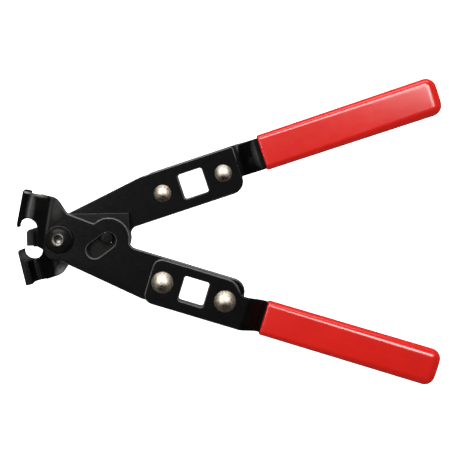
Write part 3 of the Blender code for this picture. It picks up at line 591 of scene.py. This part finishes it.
bolt_black = oxide_gloss("bolt_oxide", (0.009, 0.009, 0.008), (0.015, 0.0147, 0.0135), 0.26, 0.34,
                         socket=SOCKET_HIGHLIGHT_RADIUS)
nut_black = oxide_gloss("nut_oxide", (0.025, 0.025, 0.024), (0.045, 0.045, 0.043), 0.25, 0.40)
vinyl = red_vinyl("grip_red")

finishes = {
    "front_arm_plate": arm_front, "back_arm_plate": arm_back,
    "front_handle_plate": handle_front, "back_handle_plate": handle_back,
    "slider_plate": slider_grey, "slider_pin": pin_grey,
    "front_pivot_washer": washer_black, "back_pivot_washer": washer_black, "pivot_nut": nut_black,
}
for name, finish in finishes.items():
    obj = nodes[name]
    obj.data.materials.clear()
    obj.data.materials.append(finish)
    refine(obj)

for side, place in (("front", FRONT), ("back", BACK)):
    body = side + "_arm"
    for which, x in (("near", RIVET_NEAR_X), ("far", RIVET_FAR_X)):
        dark_reflection_place = place @ Vector((x, FIXING_LINE_Y, 0)) + RIVET_DARK_REFLECTION_PLACE
        silver = bright_steel("rivet_silver_" + side + "_" + which,
                              (0.42, 0.355, 0.285), (0.60, 0.525, 0.430), 0.43, 0.52, dark_reflection_place)
        build_rivet(side + "_rivet_head_" + which, x, place, body, side + "_rivet_" + which, silver)
    build_grip(side + "_vinyl_grip", place, body, side + "_grip", vinyl)
build_bolt(bolt_black)


# Floor, light and camera

FLOOR_Z = -0.0005
FLOOR_HALF = 3.0
BOUNCE_CARD_PLACE = (0.087, 0, -0.0003)
BOUNCE_CARD_HALF = 0.6
# Radius and height of each ring of the backdrop's dome
BACKDROP_RINGS = ((2.8, FLOOR_Z), (2.8, 1.2), (2.3, 2.1), (1.2, 2.8))
BACKDROP_STEPS = 64

# Lamps: name, place, target, size and watts
LAMPS = (
    ("key", (-0.15, 0.72, 1.10), (0.06, 0, 0.01), (1.4, 0.45), 26),
    ("low_key", (0.0, 1.05, 0.22), (0.08, 0, 0.01), (1.6, 0.30), 6),
    ("overhead", (-0.12, -0.08, 1.30), (-0.12, -0.08, 0), (0.5, 0.55), 0.45),
    ("jaw_band", (-0.24, 0.05, 0.60), (-0.012, 0.01, 0.02), (0.21, 0.10), 1.25),
    ("grip_sheen", (0.72, 0.48, 1.45), (0.15, 0.05, 0), (0.6, 0.5), 16),
)

# Camera, fitted to the photograph's outline: metres and radians, with the sensor in millimetres
CAMERA_DISTANCE = 0.450
CAMERA_TILT = 0.0732960
CAMERA_ROLL = 0.0133385
CAMERA_TARGET = (0.08712223, 0.00484066, 0)
SENSOR_WIDTH = 36
PICTURE_WIDTH = 458
PIXEL_AT_MIDDLE_PLANE = 0.00052


def square(name, half):
    mesh = bpy.data.meshes.new(name)
    corners = [(-half, -half, 0), (half, -half, 0), (half, half, 0), (-half, half, 0)]
    mesh.from_pydata(corners, [], [(0, 1, 2, 3)])
    return mesh


def add_white(name, mesh, glow):
    """Links a mesh to the scene with a dull white material that glows by the given strength."""
    obj = bpy.data.objects.new(name, mesh)
    bpy.context.scene.collection.objects.link(obj)
    material, tree, shader = new_material(name + "_white")
    shader.inputs["Base Color"].default_value = (0.3, 0.3, 0.3, 1)
    shader.inputs["Roughness"].default_value = 0.8
    shader.inputs["Emission Color"].default_value = (1, 1, 1, 1)
    shader.inputs["Emission Strength"].default_value = glow
    mesh.materials.append(material)
    return obj


def build_floor():
    """White floor that gloss doesn't mirror: the black plates show dark surroundings and the lamps."""
    floor = add_white("floor", square("floor", FLOOR_HALF), 1.0)
    floor.location.z = FLOOR_Z
    floor.visible_glossy = False


def build_bounce_card():
    """White card just over the floor that only lights undersides: camera and gloss don't see it."""
    card = add_white("bounce_card", square("bounce_card", BOUNCE_CARD_HALF), 2.2)
    card.location = BOUNCE_CARD_PLACE
    card.visible_camera = card.visible_glossy = False
    card.visible_transmission = card.visible_shadow = False


def build_backdrop():
    """White dome that only the camera sees and that lights nothing, so low views have no dark horizon."""
    steps = BACKDROP_STEPS
    top_level = len(BACKDROP_RINGS) - 1
    points = []
    for radius, height in BACKDROP_RINGS:
        for step in range(steps):
            angle = 2 * math.pi * step / steps
            points.append((radius * math.cos(angle), radius * math.sin(angle), height))
    faces = [(level * steps + step, level * steps + (step + 1) % steps,
              (level + 1) * steps + (step + 1) % steps, (level + 1) * steps + step)
             for level in range(top_level) for step in range(steps)]
    faces.append(tuple(range(top_level * steps, (top_level + 1) * steps)))
    mesh = bpy.data.meshes.new("backdrop")
    mesh.from_pydata(points, [], faces)
    backdrop = add_white("backdrop", mesh, 1.0)
    backdrop.visible_diffuse = backdrop.visible_glossy = False
    backdrop.visible_transmission = backdrop.visible_shadow = False


def area_light(name, place, target, size, power):
    data = bpy.data.lights.new(name, "AREA")
    data.shape = "RECTANGLE"
    data.size, data.size_y = size
    data.energy = power
    light = bpy.data.objects.new(name, data)
    bpy.context.scene.collection.objects.link(light)
    light.location = place
    light.rotation_euler = (Vector(target) - Vector(place)).to_track_quat("-Z", "Y").to_euler()


def build_camera():
    """Camera at the photograph's angle: 450 mm away, tipped 4.2 degrees towards +Y."""
    turn = Matrix.Rotation(-CAMERA_ROLL, 3, "Z")
    target = turn @ Vector(CAMERA_TARGET)
    target.z = MIDDLE_Z
    back = turn @ Vector((0, math.sin(CAMERA_TILT), math.cos(CAMERA_TILT)))
    up = turn @ Vector((0, math.cos(CAMERA_TILT), -math.sin(CAMERA_TILT)))
    right = turn @ Vector((1, 0, 0))
    data = bpy.data.cameras.new("camera")
    camera = bpy.data.objects.new("camera", data)
    bpy.context.scene.collection.objects.link(camera)
    place = Matrix((right, up, back)).transposed().to_4x4()
    place.translation = target + back * CAMERA_DISTANCE
    camera.matrix_world = place
    data.sensor_width = SENSOR_WIDTH
    data.lens = SENSOR_WIDTH * CAMERA_DISTANCE / PIXEL_AT_MIDDLE_PLANE / PICTURE_WIDTH
    data.clip_start = 0.01
    bpy.context.scene.camera = camera


build_floor()
build_bounce_card()
build_backdrop()
for lamp in LAMPS:
    area_light(*lamp)
build_camera()

world = bpy.data.worlds.new("studio")
world.use_nodes = True
world.node_tree.nodes["Background"].inputs["Color"].default_value = (1.0, 0.97, 0.92, 1)
world.node_tree.nodes["Background"].inputs["Strength"].default_value = 0.05
bpy.context.scene.world = world
bpy.context.scene.view_settings.view_transform = "Standard"
